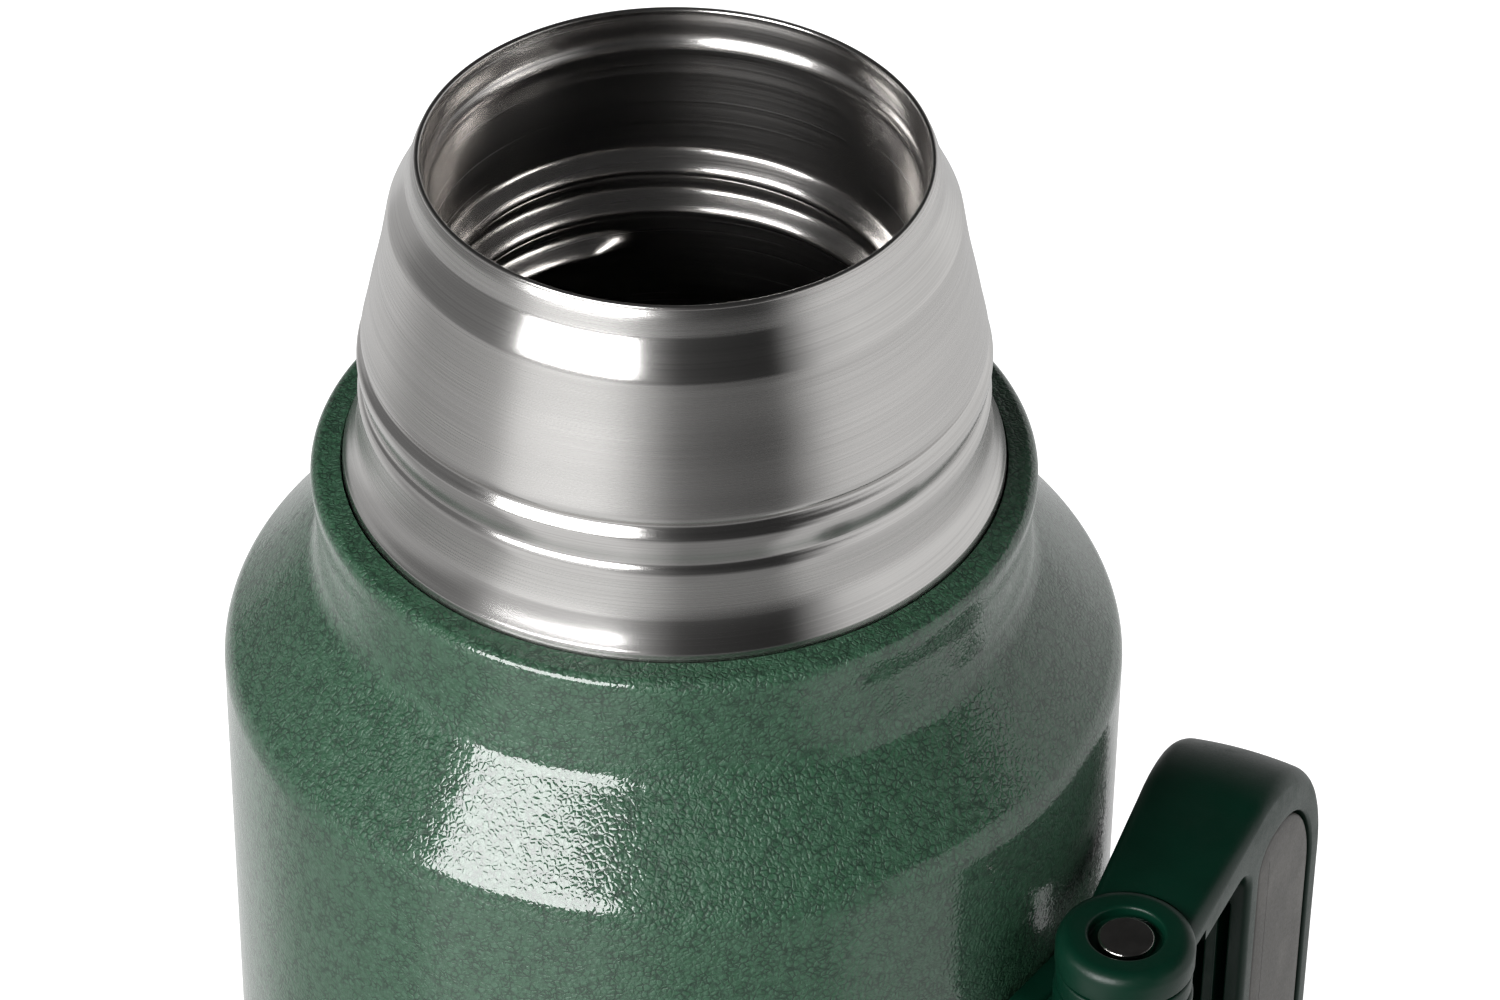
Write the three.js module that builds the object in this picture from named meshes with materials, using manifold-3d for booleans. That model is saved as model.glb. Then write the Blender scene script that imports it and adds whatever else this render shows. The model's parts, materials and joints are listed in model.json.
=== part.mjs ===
// Vacuum flask with a folding side handle: a double-walled steel bottle, open at the mouth.
// Millimetres, +Z up. The origin is on the bottle's axis, at the face it stands on.
import * as THREE from 'three';
import { mergeVertices } from 'three/addons/utils/BufferGeometryUtils.js';
import Module from 'manifold-3d';

const wasm = await Module();
wasm.setup();

// Driving dimensions of the bottle.
const BODY_RADIUS = 62;
const RIM_TOP = 300;
const RIM_RADIUS = 33.55; // to the middle of the rolled lip
const LIP_RADIUS = 0.6;
const SHELL_WALL = 0.8;
const LINER_WALL = 0.6;
const LINER_RADIUS = 51.5;
const GAP = 0.3; // clearance between pieces that are joined or touch
const SLICES = 36; // flat sides of a turned piece

// Heights along the bottle.
const RIM_Z = RIM_TOP - LIP_RADIUS;
const SHELL_FOOT_Z = 12.3;
const SHOULDER_Z = 218.1;
const LINER_FOOT_Z = 24;
const LINER_SHOULDER_Z = 208;
const LINER_NECK_Z = 236;

// Shoulder and collar of the outer shell.
const SHOULDER_SLOPE = 48; // degrees above level
const SHOULDER_BEND = 6.5;
const CREASE_BEND = 4;
const COLLAR_RADIUS = 48.65;
const COLLAR_LIP_RADIUS = 49.2;
const COLLAR_LIP_Z = 250.7;
const COLLAR_BORE = 45;
const HEM_FOOT_Z = 247.4;

// Stopper thread rolled into the mouth of the liner, right-handed.
const MOUTH_RADIUS = 32.4;
const THREAD_PITCH = 6.7;
const THREAD_HEIGHT = 2.3;
const THREAD_HALF_WIDTH = 2.7;
const THREAD_LOW_Z = RIM_Z - 37.3;
const THREAD_LOW_ANGLE = 97; // degrees from +X
const THREAD_TURNS = 2.35;

// Folding handle: a C-shaped moulding that swings about a vertical axis.
const PIVOT_REACH = 75.2;
const PIVOT_ANGLE = -35; // degrees from +X, about the bottle's axis
const HANDLE_ANGLE = 67.5; // direction of the folded arms, degrees from +X
const HANDLE_TOP = 202;
const HANDLE_FOOT = 73;
const HANDLE_REACH = 58.5;
const HANDLE_THICK = 20; // at the grip's back; the moulding narrows towards the hinge
const HINGE_THICK = 15.2;
const HANDLE_FLARE = 0.036; // how much taller the moulding is at the grip's back
const ARM_HEIGHT = 7;
const GRIP_WIDTH = 31;
const HANDLE_CORNER = 27.5;
const HANDLE_INNER_CORNER = 5;
const HANDLE_ROUNDING = 2.2;
const BOSS_RADIUS = 9.5;
const BOSS_HEIGHT = 5;
const BOSS_RISE = 1;
const KNUCKLE_SWEEP = 13; // room round the pivot that the arms leave for the brackets
const PAD_DEPTH = 3;
const POCKET_LOW_X = 31;
const POCKET_HIGH_X = 53;
const POCKET_HALF_HEIGHT = 55;
const POCKET_CORNER = 4;
const POCKET_BACK_CORNER = 17.5;
const PAD_INSET = 0.5;
const CHANNELS = [[-6.8, -5], [-3, -1], [1, 3], [5, 6.8]];
const CHANNEL_DEPTH = 8;
const CHANNEL_HALF_HEIGHT = 50;

// Hinge hardware.
const PIN_RADIUS = 2.6;
const PIN_HEAD_RADIUS = 3.95;
const PIN_HEAD_HEIGHT = 1.4;
const PIN_BORE = PIN_RADIUS + GAP;
const HEAD_RECESS_RADIUS = 5.2;
const HEAD_RECESS_DEPTH = 2;
const WASHER_HEIGHT = 3.1;
const WASHER_RADIUS = 9.3;
const KNUCKLE_HEIGHT = 14;
const HINGE_PLAY = 0.35;
const CLIP_RADIUS = 5;
const CLIP_HEIGHT = 0.9;

// Brackets on the body, and the welded studs that hold them.
const SADDLE_REACH = 66.5; // outer face, from the bottle's axis
const SADDLE_HALF_WIDTH = 11;
const SADDLE_HEIGHT = 37;
const SADDLE_DROP = 13; // top edge below the top of the handle's boss
const WEB_HALF_WIDTH = 6.5;
const STUD_RADIUS = 2;
const STUD_LENGTH = 7.6;
const STUD_OFFSETS = [17, 30]; // below the saddle's top edge
const NUT_RADIUS = 4.04; // across the corners, 7 mm across the flats
const NUT_HEIGHT = 3.2;

const radians = THREE.MathUtils.degToRad;
const BOSS_TOP = HANDLE_TOP + BOSS_RISE;
const HANDLE_MIDDLE = (HANDLE_TOP + HANDLE_FOOT) / 2;
const PIVOT_X = PIVOT_REACH * Math.cos(radians(PIVOT_ANGLE));
const PIVOT_Y = PIVOT_REACH * Math.sin(radians(PIVOT_ANGLE));

const FINISHES = {
  greenPaint: { color: 0x2f5340, roughness: 0.35, metalness: 0.2 },
  steel: { color: 0xb4b2ae, roughness: 0.3, metalness: 1 },
  linerSteel: { color: 0x8d8b87, roughness: 0.35, metalness: 1 },
  greenPlastic: { color: 0x06301f, roughness: 0.42, metalness: 0 },
  greyRubber: { color: 0x33383a, roughness: 0.8, metalness: 0 },
  aluminiumFoil: { color: 0xc9cbcd, roughness: 0.2, metalness: 1 },
  getterAlloy: { color: 0x55524e, roughness: 0.7, metalness: 0.6 },
  brazeAlloy: { color: 0x9b958a, roughness: 0.5, metalness: 0.8 },
};

const materials = Object.fromEntries(
  Object.entries(FINISHES).map(([name, look]) => {
    const material = new THREE.MeshStandardMaterial(look);
    material.name = name;
    return [name, material];
  }),
);

// ---- Geometry helpers ----

function signedVolume(geometry) {
  const position = geometry.getAttribute('position');
  const index = geometry.getIndex();
  const a = new THREE.Vector3();
  const b = new THREE.Vector3();
  const c = new THREE.Vector3();
  let volume = 0;
  for (let i = 0; i < index.count; i += 3) {
    a.fromBufferAttribute(position, index.getX(i));
    b.fromBufferAttribute(position, index.getX(i + 1));
    c.fromBufferAttribute(position, index.getX(i + 2));
    volume += a.dot(b.cross(c)) / 6;
  }
  return volume;
}

// One closed skin with shared corners, no collapsed triangles and its faces pointing out.
function closedSkin(source) {
  const loose = source.clone();
  loose.deleteAttribute('normal');
  loose.deleteAttribute('uv');
  const geometry = mergeVertices(loose, 1e-4);
  const old = geometry.getIndex();
  const kept = [];
  for (let i = 0; i < old.count; i += 3) {
    const corners = [old.getX(i), old.getX(i + 1), old.getX(i + 2)];
    if (new Set(corners).size === 3) kept.push(...corners);
  }
  geometry.setIndex(kept);
  if (signedVolume(geometry) < 0) {
    for (let i = 0; i < kept.length; i += 3) {
      [kept[i + 1], kept[i + 2]] = [kept[i + 2], kept[i + 1]];
    }
    geometry.setIndex(kept);
  }
  return geometry;
}

function solid(geometry) {
  const skin = closedSkin(geometry);
  return new wasm.Manifold(new wasm.Mesh({
    numProp: 3,
    vertProperties: new Float32Array(skin.getAttribute('position').array),
    triVerts: new Uint32Array(skin.getIndex().array),
  }));
}

function skinOf(manifold) {
  const mesh = manifold.getMesh();
  const geometry = new THREE.BufferGeometry();
  geometry.setAttribute('position', new THREE.BufferAttribute(mesh.vertProperties, 3));
  geometry.setIndex(new THREE.BufferAttribute(mesh.triVerts, 1));
  return geometry;
}

function cut(base, tools) {
  return tools.reduce((left, tool) => left.subtract(tool), base);
}

function join(base, additions) {
  return additions.reduce((whole, addition) => whole.add(addition), base);
}

// Points [radius, height] round part of a circle, angles in degrees.
function arc(centreR, centreZ, radius, from, to, steps) {
  return Array.from({ length: steps + 1 }, (_, i) => {
    const angle = radians(from + ((to - from) * i) / steps);
    return [centreR + radius * Math.cos(angle), centreZ + radius * Math.sin(angle)];
  });
}

// The same line moved sideways by a distance, to the left of its direction.
function beside(line, distance) {
  return line.map((point, i) => {
    const before = line[Math.max(i - 1, 0)];
    const after = line[Math.min(i + 1, line.length - 1)];
    const alongR = after[0] - before[0];
    const alongZ = after[1] - before[1];
    const length = Math.hypot(alongR, alongZ);
    return [point[0] - (distance * alongZ) / length, point[1] + (distance * alongR) / length];
  });
}

// A piece turned from an outline [radius, height] that closes on itself or ends on the axis.
function turned(outline, slices = SLICES) {
  const points = outline.map(([r, z]) => new THREE.Vector2(r, z));
  const onAxis = outline[0][0] === 0;
  if (!onAxis) points.push(points[0].clone());
  return closedSkin(new THREE.LatheGeometry(points, slices).rotateX(Math.PI / 2));
}

function disc(radius, low, high, slices = 24) {
  return turned([[0, low], [radius, low], [radius, high], [0, high]], slices);
}

function ring(bore, radius, low, high, slices = 24) {
  return turned([[bore, low], [radius, low], [radius, high], [bore, high]], slices);
}

function block(lowX, highX, lowY, highY, lowZ, highZ) {
  return new THREE.BoxGeometry(highX - lowX, highY - lowY, highZ - lowZ)
    .translate((lowX + highX) / 2, (lowY + highY) / 2, (lowZ + highZ) / 2);
}

// A cylinder whose axis runs along +X from one distance to another, at a height.
function rod(radius, fromX, toX, z, slices = 16) {
  return new THREE.CylinderGeometry(radius, radius, toX - fromX, slices)
    .rotateZ(-Math.PI / 2)
    .translate((fromX + toX) / 2, 0, z);
}

// A plate in the handle's own plane, along the arms and up, with two radii at its corners.
function roundedPlate(lowX, highX, halfHeight, corner, backCorner, lowY, highY) {
  const lowZ = HANDLE_MIDDLE - halfHeight;
  const highZ = HANDLE_MIDDLE + halfHeight;
  const shape = new THREE.Shape();
  shape.moveTo(lowX + corner, lowZ);
  shape.lineTo(highX - backCorner, lowZ);
  shape.absarc(highX - backCorner, lowZ + backCorner, backCorner, -Math.PI / 2, 0);
  shape.lineTo(highX, highZ - backCorner);
  shape.absarc(highX - backCorner, highZ - backCorner, backCorner, 0, Math.PI / 2);
  shape.lineTo(lowX + corner, highZ);
  shape.absarc(lowX + corner, highZ - corner, corner, Math.PI / 2, Math.PI);
  shape.lineTo(lowX, lowZ + corner);
  shape.absarc(lowX + corner, lowZ + corner, corner, Math.PI, Math.PI * 1.5);
  const depth = highY - lowY;
  return new THREE.ExtrudeGeometry(shape, { depth, bevelEnabled: false, curveSegments: 5 })
    .rotateX(Math.PI / 2)
    .translate(0, highY, 0);
}

function mirroredHeight(geometry) {
  return closedSkin(geometry.clone().translate(0, 0, -HANDLE_MIDDLE).scale(1, 1, -1)
    .translate(0, 0, HANDLE_MIDDLE));
}

function piece(name, geometry, finish) {
  const mesh = new THREE.Mesh(closedSkin(geometry), materials[finish]);
  mesh.name = name;
  return mesh;
}

// ---- The bottle ----

// Outer face of the painted shell, from its foot to the top of the collar's lip.
function shellLine() {
  const normalR = Math.sin(radians(SHOULDER_SLOPE));
  const normalZ = Math.cos(radians(SHOULDER_SLOPE));
  const turn = 90 - SHOULDER_SLOPE;
  const bendR = BODY_RADIUS - SHOULDER_BEND;
  const coneLine = bendR * normalR + SHOULDER_Z * normalZ + SHOULDER_BEND;
  const creaseR = COLLAR_RADIUS + CREASE_BEND;
  const creaseZ = (coneLine + CREASE_BEND - creaseR * normalR) / normalZ;
  const lipBend = 1.8;
  const lipR = COLLAR_LIP_RADIUS - lipBend;
  return [
    [BODY_RADIUS, SHELL_FOOT_Z],
    ...arc(bendR, SHOULDER_Z, SHOULDER_BEND, 0, turn, 5),
    ...arc(creaseR, creaseZ, CREASE_BEND, 180 + turn, 180, 3),
    [COLLAR_RADIUS, COLLAR_LIP_Z - 5],
    ...arc(lipR, COLLAR_LIP_Z - lipBend, lipBend, 0, 80, 4),
    [COLLAR_BORE, COLLAR_LIP_Z + 0.4],
  ];
}

function outerShell() {
  const outside = shellLine();
  const inside = beside(outside.slice(0, -1), SHELL_WALL);
  inside[0][1] = SHELL_FOOT_Z;
  const hem = [
    [COLLAR_BORE, HEM_FOOT_Z],
    [COLLAR_BORE + SHELL_WALL, HEM_FOOT_Z],
    [COLLAR_BORE + SHELL_WALL, COLLAR_LIP_Z - SHELL_WALL],
  ];
  return piece('outer_shell', turned([...outside, ...hem, ...inside.reverse()]), 'greenPaint');
}

// Outer face of the steel neck, from the mouth down to the spigot inside the collar.
function neckLine() {
  return [
    [34.8, RIM_Z - 1.2],
    [35.2, RIM_Z - 2.9],
    [36, RIM_Z - 5],
    [37.4, RIM_Z - 8.4],
    [38.95, RIM_Z - 15.1],
    [40.4, RIM_Z - 21.1],
    [41.75, RIM_Z - 27.6],
    [41.5, RIM_Z - 28.8],
    [42.4, RIM_Z - 30.9],
    [42.3, RIM_Z - 32.6],
    [41.85, RIM_Z - 34.5],
    [42.4, RIM_Z - 36.4],
    [42.5, RIM_Z - 40.6],
    [43.1, RIM_Z - 43.6],
    [44.6, RIM_Z - 48],
    [44.6, HEM_FOOT_Z],
  ];
}

function neckSleeve() {
  const outside = neckLine();
  const inside = beside(outside, -SHELL_WALL);
  inside[0] = [34.3, RIM_Z - 1.7];
  return piece('neck_sleeve', turned([...outside, ...inside.reverse()]), 'steel');
}

// How far the rolled thread pushes the wall in, at an angle and a height.
function threadPush(angle, z) {
  const lowAngle = radians(THREAD_LOW_ANGLE);
  const firstTurn = (((angle - lowAngle) / (2 * Math.PI)) % 1 + 1) % 1;
  let push = 0;
  for (let turn = firstTurn; turn <= THREAD_TURNS; turn += 1) {
    const away = Math.abs(z - THREAD_LOW_Z - THREAD_PITCH * turn);
    const ends = Math.min(turn, THREAD_TURNS - turn) * 20;
    if (away < THREAD_HALF_WIDTH) {
      const crest = Math.cos((away / THREAD_HALF_WIDTH) * (Math.PI / 2)) ** 2;
      push = Math.max(push, THREAD_HEIGHT * crest * Math.min(1, ends));
    }
  }
  return push;
}

function pressThread(geometry) {
  const position = geometry.getAttribute('position');
  for (let i = 0; i < position.count; i += 1) {
    const x = position.getX(i);
    const y = position.getY(i);
    const radius = Math.hypot(x, y);
    const push = threadPush(Math.atan2(y, x), position.getZ(i));
    const factor = (radius - push) / radius;
    position.setXY(i, x * factor, y * factor);
  }
  return geometry;
}

// Inside face of the liner, from the mouth down to its foot.
function linerLine() {
  const threadHigh = THREAD_LOW_Z + THREAD_PITCH * THREAD_TURNS + THREAD_HALF_WIDTH;
  const threadFoot = THREAD_LOW_Z - THREAD_HALF_WIDTH;
  const rows = 12;
  const threadRows = Array.from({ length: rows + 1 }, (_, i) => [
    MOUTH_RADIUS,
    threadHigh + ((threadFoot - threadHigh) * i) / rows,
  ]);
  const bend = 14;
  return [
    [33.0, RIM_Z - 3.6],
    [32.3, RIM_Z - 5],
    [32.5, RIM_Z - 6.6],
    ...threadRows,
    [MOUTH_RADIUS, LINER_NECK_Z],
    ...arc(LINER_RADIUS - bend, LINER_SHOULDER_Z, bend, 62, 0, 4),
    [LINER_RADIUS, LINER_FOOT_Z],
  ];
}

function innerLiner() {
  const inside = linerLine();
  const outside = beside(inside, LINER_WALL);
  outside[outside.length - 1][1] = LINER_FOOT_Z;
  const lip = arc(RIM_RADIUS, RIM_Z, LIP_RADIUS, -60, 210, 7);
  const outline = [...lip, ...inside, ...outside.reverse()];
  return piece('inner_liner', pressThread(turned(outline)), 'linerSteel');
}

function linerBase() {
  const edge = LINER_RADIUS - GAP;
  const outline = [
    [0, LINER_FOOT_Z + 3],
    [28, LINER_FOOT_Z + 2],
    [edge - 4, LINER_FOOT_Z + 1.2],
    [edge, LINER_FOOT_Z + 5],
    [edge - 0.8, LINER_FOOT_Z + 5.4],
    [edge - 4.4, LINER_FOOT_Z + 2.2],
    [28, LINER_FOOT_Z + 3],
    [0, LINER_FOOT_Z + 4],
  ];
  return piece('liner_base', turned(outline), 'linerSteel');
}

function outerBase() {
  const edge = BODY_RADIUS - SHELL_WALL - GAP;
  const portRadius = 4;
  const outline = [
    [portRadius, 8.2],
    [20, 7.2],
    [38, 9],
    [edge - 6, 13],
    [edge, 13.6],
    [edge, 14.8],
    [edge - 6.4, 14.2],
    [38, 10.2],
    [20, 8.4],
    [portRadius, 9.4],
  ];
  return piece('outer_base', turned(outline), 'linerSteel');
}

// Pressed cup over the bottom: flat where it stands, with a shallow pressed ring.
function baseCap() {
  const corner = 4;
  const edge = BODY_RADIUS - 0.1;
  const wall = 1;
  const top = SHELL_FOOT_Z - GAP;
  const outline = [
    [0, 0],
    [41, 0],
    [42.2, 0.9],
    [45.8, 0.9],
    [47, 0],
    ...arc(edge - corner, corner, corner, -90, 0, 3),
    [edge, top],
    [edge - wall, top],
    ...arc(edge - corner, corner, corner - wall, 0, -90, 2),
    [47.4, wall],
    [46.2, wall + 0.9],
    [41.8, wall + 0.9],
    [40.6, wall],
    [0, wall],
  ];
  return piece('base_cap', turned(outline), 'greenPaint');
}

function vacuumPlug() {
  const outline = [[0, 6.8], [5.5, 6.8], [5.5, 7.5], [3.6, 7.8], [3.6, 9.8], [0, 10.2]];
  return piece('vacuum_plug', turned(outline, 20), 'brazeAlloy');
}

function foilWrap() {
  const inside = LINER_RADIUS + LINER_WALL + 0.7;
  const wrap = ring(inside, inside + 0.3, LINER_FOOT_Z + 6, LINER_SHOULDER_Z - 2, SLICES);
  return piece('reflective_foil', wrap, 'aluminiumFoil');
}

// Gas-absorbing pellet in the vacuum space, and the strip that holds it under the liner.
function getterPieces() {
  const offset = 30;
  const pellet = disc(5, LINER_FOOT_Z - 3.6, LINER_FOOT_Z - 0.6, 20).translate(offset, 0, 0);
  const strip = join(solid(block(offset - 11, offset + 11, -2.5, 2.5, 19, 19.8)), [
    solid(block(offset - 11, offset - 10.2, -2.5, 2.5, 19, 25.3)),
    solid(block(offset + 10.2, offset + 11, -2.5, 2.5, 19, 24.9)),
  ]);
  return [
    piece('getter_pellet', pellet, 'getterAlloy'),
    piece('getter_clip', skinOf(strip), 'linerSteel'),
  ];
}

// ---- The handle, in its own frame: pivot on Z, arms along +X, outward side facing -Y ----

function handleOutline() {
  const inner = HANDLE_REACH - GRIP_WIDTH;
  const round = HANDLE_INNER_CORNER;
  const shape = new THREE.Shape();
  shape.moveTo(0, HANDLE_FOOT);
  shape.lineTo(HANDLE_REACH - HANDLE_CORNER, HANDLE_FOOT);
  shape.absarc(HANDLE_REACH - HANDLE_CORNER, HANDLE_FOOT + HANDLE_CORNER, HANDLE_CORNER,
    -Math.PI / 2, 0);
  shape.lineTo(HANDLE_REACH, HANDLE_TOP - HANDLE_CORNER);
  shape.absarc(HANDLE_REACH - HANDLE_CORNER, HANDLE_TOP - HANDLE_CORNER, HANDLE_CORNER,
    0, Math.PI / 2);
  shape.lineTo(0, HANDLE_TOP);
  shape.lineTo(0, HANDLE_TOP - ARM_HEIGHT);
  shape.lineTo(inner - round, HANDLE_TOP - ARM_HEIGHT);
  shape.absarc(inner - round, HANDLE_TOP - ARM_HEIGHT - round, round, Math.PI / 2, 0, true);
  shape.lineTo(inner, HANDLE_FOOT + ARM_HEIGHT + round);
  shape.absarc(inner - round, HANDLE_FOOT + ARM_HEIGHT + round, round, 0, -Math.PI / 2, true);
  shape.lineTo(0, HANDLE_FOOT + ARM_HEIGHT);
  return shape;
}

// Narrows a piece of the handle towards the hinge, and lets its height grow away from it.
function flared(geometry) {
  const narrow = HINGE_THICK / HANDLE_THICK;
  const place = geometry.attributes.position;
  for (let index = 0; index < place.count; index += 1) {
    const share = place.getX(index) / HANDLE_REACH;
    const height = place.getZ(index) - HANDLE_MIDDLE;
    place.setY(index, place.getY(index) * (narrow + (1 - narrow) * share));
    place.setZ(index, HANDLE_MIDDLE + height * (1 + HANDLE_FLARE * share));
  }
  return geometry;
}

function handleFrame() {
  const bar = new THREE.ExtrudeGeometry(handleOutline(), {
    depth: HANDLE_THICK - 2 * HANDLE_ROUNDING,
    bevelThickness: HANDLE_ROUNDING,
    bevelSize: HANDLE_ROUNDING,
    bevelOffset: -HANDLE_ROUNDING,
    bevelSegments: 3,
    curveSegments: 6,
  }).rotateX(Math.PI / 2).translate(0, HANDLE_THICK / 2 - HANDLE_ROUNDING, 0);
  const bossOutline = [
    [0, BOSS_TOP - BOSS_HEIGHT],
    [BOSS_RADIUS, BOSS_TOP - BOSS_HEIGHT],
    ...arc(BOSS_RADIUS - 2, BOSS_TOP - 2, 2, 0, 90, 3),
    [0, BOSS_TOP],
  ];
  const boss = turned(bossOutline, 32);
  const sweep = disc(KNUCKLE_SWEEP, HANDLE_FOOT - BOSS_RISE + BOSS_HEIGHT,
    BOSS_TOP - BOSS_HEIGHT, 32);
  const recess = disc(HEAD_RECESS_RADIUS, BOSS_TOP - HEAD_RECESS_DEPTH, BOSS_TOP + 1);
  const bore = disc(PIN_BORE, HANDLE_FOOT - 5, BOSS_TOP + 5);
  const side = HANDLE_THICK / 2;
  const pockets = [-1, 1].map((face) => {
    const deep = face * (side - PAD_DEPTH);
    const clear = face * (side + 1);
    return solid(roundedPlate(POCKET_LOW_X, POCKET_HIGH_X, POCKET_HALF_HEIGHT, POCKET_CORNER,
      POCKET_BACK_CORNER, Math.min(deep, clear), Math.max(deep, clear)));
  });
  const wall = HANDLE_REACH - GRIP_WIDTH;
  const channels = CHANNELS.map(([low, high]) => (
    solid(block(wall - 3, wall + CHANNEL_DEPTH, low, high,
      HANDLE_MIDDLE - CHANNEL_HALF_HEIGHT, HANDLE_MIDDLE + CHANNEL_HALF_HEIGHT))
  ));
  const hingeEnd = solid(block(-20, 2.5, -20, 20, 60, 220));
  const moulding = solid(flared(skinOf(cut(solid(bar), [hingeEnd, ...pockets, ...channels]))));
  const whole = join(moulding, [solid(boss), solid(mirroredHeight(boss))]);
  const body = cut(whole, [
    solid(sweep), solid(recess), solid(mirroredHeight(recess)), solid(bore),
  ]);
  return piece('handle_frame', skinOf(body), 'greenPlastic');
}

function gripPads() {
  const side = HANDLE_THICK / 2;
  const floor = side - PAD_DEPTH + GAP;
  const pads = [['grip_pad_outer', -side, -floor], ['grip_pad_inner', floor, side]];
  return pads.map(([name, low, high]) => (
    piece(name, flared(roundedPlate(POCKET_LOW_X + PAD_INSET, POCKET_HIGH_X - PAD_INSET,
      POCKET_HALF_HEIGHT - PAD_INSET, POCKET_CORNER - PAD_INSET,
      POCKET_BACK_CORNER - PAD_INSET, low, high)), 'greyRubber')
  ));
}

// ---- Hinge hardware, on the pivot's axis ----

const WASHER_TOP = BOSS_TOP - BOSS_HEIGHT - HINGE_PLAY;
const KNUCKLE_TOP = WASHER_TOP - WASHER_HEIGHT - HINGE_PLAY;
const KNUCKLE_FOOT = KNUCKLE_TOP - KNUCKLE_HEIGHT;

function hingePin() {
  const seat = BOSS_TOP - HEAD_RECESS_DEPTH + GAP;
  const tip = KNUCKLE_FOOT - 3;
  return turned([
    [0, tip],
    [PIN_RADIUS - 0.5, tip],
    [PIN_RADIUS, tip + 0.5],
    [PIN_RADIUS, seat],
    [PIN_HEAD_RADIUS, seat],
    [PIN_HEAD_RADIUS, seat + PIN_HEAD_HEIGHT - 0.4],
    [PIN_HEAD_RADIUS - 0.4, seat + PIN_HEAD_HEIGHT],
    [0, seat + PIN_HEAD_HEIGHT],
  ], 20);
}

function hingePieces() {
  const washer = ring(PIN_BORE, WASHER_RADIUS, WASHER_TOP - WASHER_HEIGHT, WASHER_TOP);
  const clipTop = KNUCKLE_FOOT - GAP;
  const clip = ring(PIN_BORE, CLIP_RADIUS, clipTop - CLIP_HEIGHT, clipTop, 20);
  const upper = [
    ['hinge_pin', hingePin(), 'steel'],
    ['hinge_washer', washer, 'greenPlastic'],
    ['pin_clip', clip, 'steel'],
  ];
  return upper.flatMap(([name, geometry, finish]) => [
    piece(`${name}_upper`, geometry, finish),
    piece(`${name}_lower`, mirroredHeight(geometry), finish),
  ]);
}

// ---- Brackets on the body, in a frame turned to the pivot: +X points out through it ----

const SADDLE_TOP = BOSS_TOP - SADDLE_DROP;
const SADDLE_FOOT = SADDLE_TOP - SADDLE_HEIGHT;

function hingeBracket() {
  const plate = new THREE.Shape();
  const corner = 5;
  plate.moveTo(-SADDLE_HALF_WIDTH + corner, SADDLE_FOOT);
  plate.lineTo(SADDLE_HALF_WIDTH - corner, SADDLE_FOOT);
  plate.absarc(SADDLE_HALF_WIDTH - corner, SADDLE_FOOT + corner, corner, -Math.PI / 2, 0);
  plate.lineTo(SADDLE_HALF_WIDTH, SADDLE_TOP - corner);
  plate.absarc(SADDLE_HALF_WIDTH - corner, SADDLE_TOP - corner, corner, 0, Math.PI / 2);
  plate.lineTo(-SADDLE_HALF_WIDTH + corner, SADDLE_TOP);
  plate.absarc(corner - SADDLE_HALF_WIDTH, SADDLE_TOP - corner, corner, Math.PI / 2, Math.PI);
  plate.lineTo(-SADDLE_HALF_WIDTH, SADDLE_FOOT + corner);
  plate.absarc(corner - SADDLE_HALF_WIDTH, SADDLE_FOOT + corner, corner, Math.PI, Math.PI * 1.5);
  const saddle = new THREE.ExtrudeGeometry(plate, { depth: 30, bevelEnabled: false,
    curveSegments: 5 }).rotateX(Math.PI / 2).rotateZ(Math.PI / 2).translate(45, 0, 0);
  const rind = turned([
    [BODY_RADIUS + GAP + 0.2, SADDLE_FOOT - 1],
    [SADDLE_REACH, SADDLE_FOOT - 1],
    [SADDLE_REACH, SADDLE_TOP + 1],
    [BODY_RADIUS + GAP + 0.2, SADDLE_TOP + 1],
  ], 72);
  const knuckle = disc(BOSS_RADIUS, KNUCKLE_FOOT, KNUCKLE_TOP, 28).translate(PIVOT_REACH, 0, 0);
  const webFoot = KNUCKLE_FOOT;
  const web = solid(block(50, PIVOT_REACH, -WEB_HALF_WIDTH, WEB_HALF_WIDTH, webFoot,
    SADDLE_TOP - 0.4)).subtract(solid(disc(BODY_RADIUS + 2, 0, 300, 72)));
  const body = join(solid(saddle).intersect(solid(rind)), [solid(knuckle), web]);
  const bore = disc(PIN_BORE, KNUCKLE_FOOT - 5, KNUCKLE_TOP + 5).translate(PIVOT_REACH, 0, 0);
  const studHoles = STUD_OFFSETS.map((drop) => (
    solid(rod(STUD_RADIUS + GAP, 55, 70, SADDLE_TOP - drop))
  ));
  const nutFlats = STUD_OFFSETS.map((drop) => (
    solid(block(SADDLE_REACH - 0.3, 80, -4.6, 4.6, SADDLE_TOP - drop - 4.6,
      SADDLE_TOP - drop + 4.6))
  ));
  return skinOf(cut(body, [solid(bore), ...studHoles, ...nutFlats]));
}

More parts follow.
